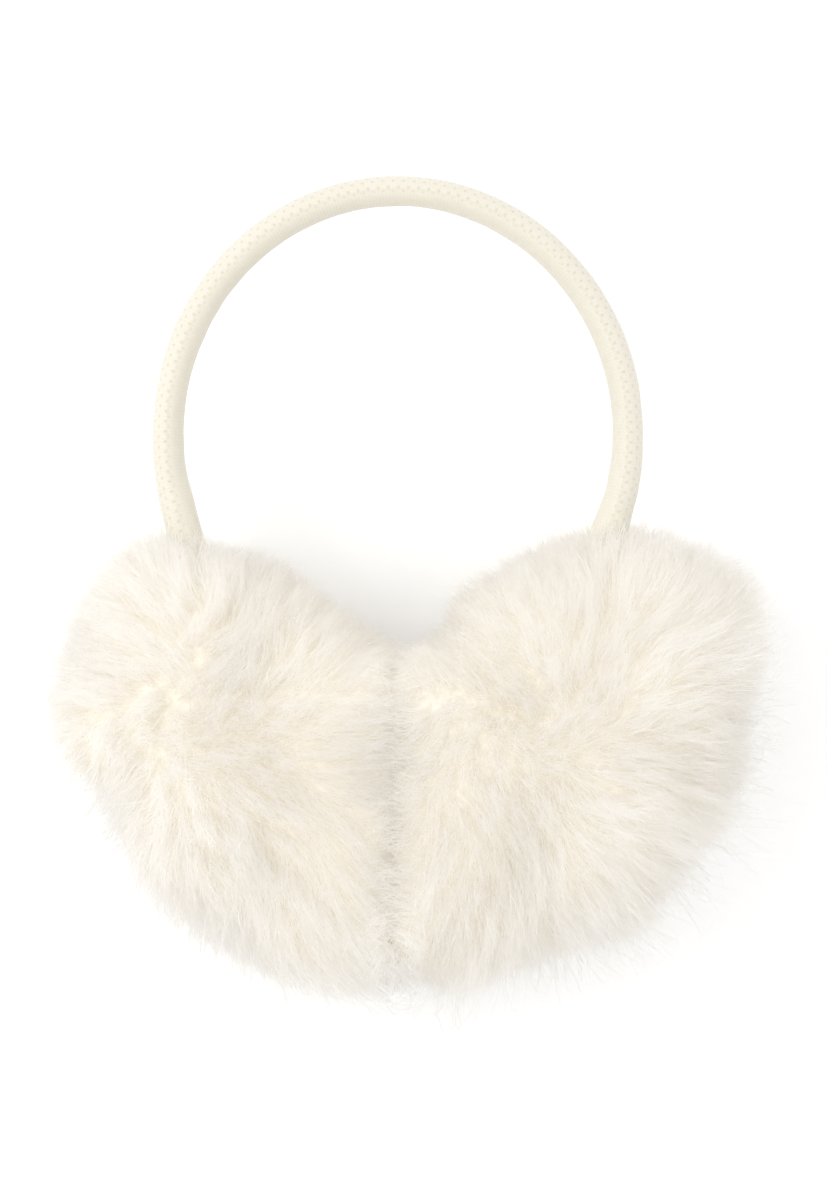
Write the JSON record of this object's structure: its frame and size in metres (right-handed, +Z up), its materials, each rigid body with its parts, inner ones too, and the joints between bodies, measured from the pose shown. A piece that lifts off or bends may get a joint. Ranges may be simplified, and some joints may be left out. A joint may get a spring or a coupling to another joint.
{
  "type": "fur earmuffs",
  "caption": "Fluffy fur earmuffs: a slim knit-sleeved band arched in one plane, ending in deep-piled round ear pads pressed side by side.",
  "frame": {"origin": "middle of the part's base, on the surface that it lies on", "axes": "+Z up from the surface, +Y from the ear pads towards the crown of the band, +X to the right as pictured"},
  "size_m": [0.189, 0.215, 0.1104],
  "materials": {
    "cream_knit": "fine cream rib knit with small eyelets",
    "cream_fur": "long soft cream fur pile"
  },
  "bodies": {
    "root": {"knit_headband": "cream_knit", "left_fur_pad": "cream_fur", "right_fur_pad": "cream_fur"}
  },
  "joints": []
}
